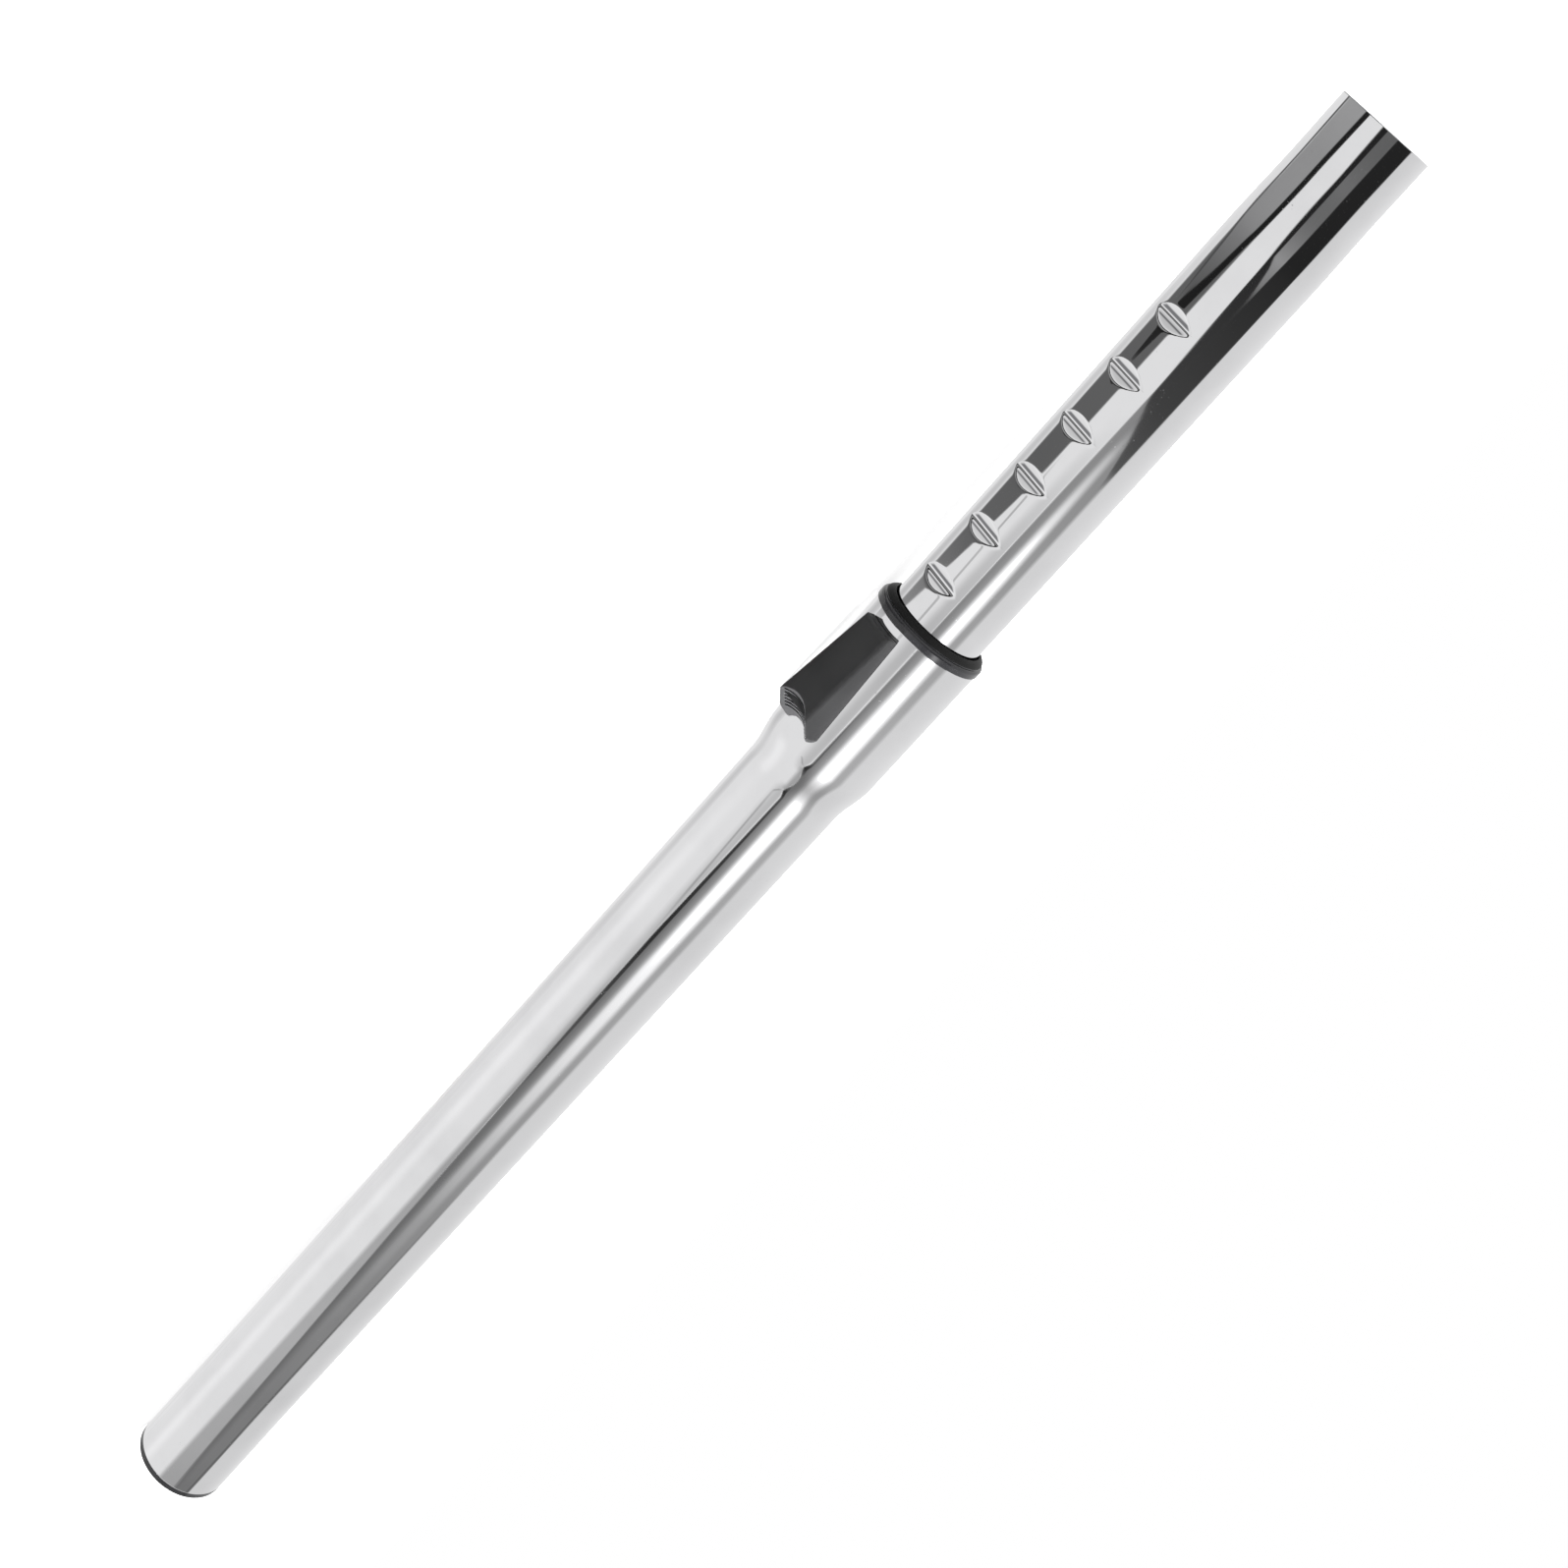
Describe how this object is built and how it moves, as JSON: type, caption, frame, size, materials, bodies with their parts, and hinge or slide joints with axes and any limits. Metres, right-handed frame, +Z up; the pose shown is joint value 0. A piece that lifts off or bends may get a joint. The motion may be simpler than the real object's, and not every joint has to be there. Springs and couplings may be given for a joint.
{
  "type": "vacuum extension tube",
  "caption": "Telescopic chromed suction tube: a notched inner tube slides in a wider outer tube and is locked by a roller under a black thumb slider beside a black collar.",
  "frame": {"origin": "on the tube's axis, at the mouth of the socket in the outer tube's far end", "axes": "+X along the tube to the inner tube's free end, +Z up; the tube lies on its collar, its far rim and a corner of the slider, which points to +Y and 26.35 degrees down"},
  "size_m": [0.6777, 0.0535, 0.0432],
  "materials": {
    "chrome_tube": "polished chrome plate on steel",
    "black_plastic": "fine satin moulding",
    "slider_plastic": "fine grained moulding",
    "guide_plastic": "smooth low-friction moulding",
    "soft_rubber": "matte",
    "plain_steel": "bright drawn steel"
  },
  "bodies": {
    "outer": {"outer_tube": "chrome_tube", "socket_liner": "black_plastic", "mouth_collar": "black_plastic", "wiper_ring": "soft_rubber", "guide_sleeve": "guide_plastic", "return_spring_a": "plain_steel", "return_spring_b": "plain_steel"},
    "inner": {"inner_tube": "chrome_tube", "glide_ring": "guide_plastic", "seal_ring": "soft_rubber"},
    "slider": {"release_slider": "slider_plastic"},
    "roller": {"lock_roller": "plain_steel"}
  },
  "joints": [
    {"name": "tube_extension", "type": "slide", "parent": "outer", "child": "inner", "axis": [1, 0, 0], "range_m": [-0.154, 0.11]},
    {"name": "slider_release", "type": "slide", "parent": "outer", "child": "slider", "axis": [1, 0, 0], "range_m": [0, 0.0036], "stiffness_N_per_m": 600, "springref_m": -0.004, "deforming": ["return_spring_a", "return_spring_b"]},
    {"name": "roller_lift", "type": "slide", "parent": "outer", "child": "roller", "axis": [0, 0.8961, -0.4439], "range_m": [0, 0.0021]}
  ],
  "couplings": [
    {"joint": "roller_lift", "follows": "slider_release", "ratio": 0.5833}
  ]
}
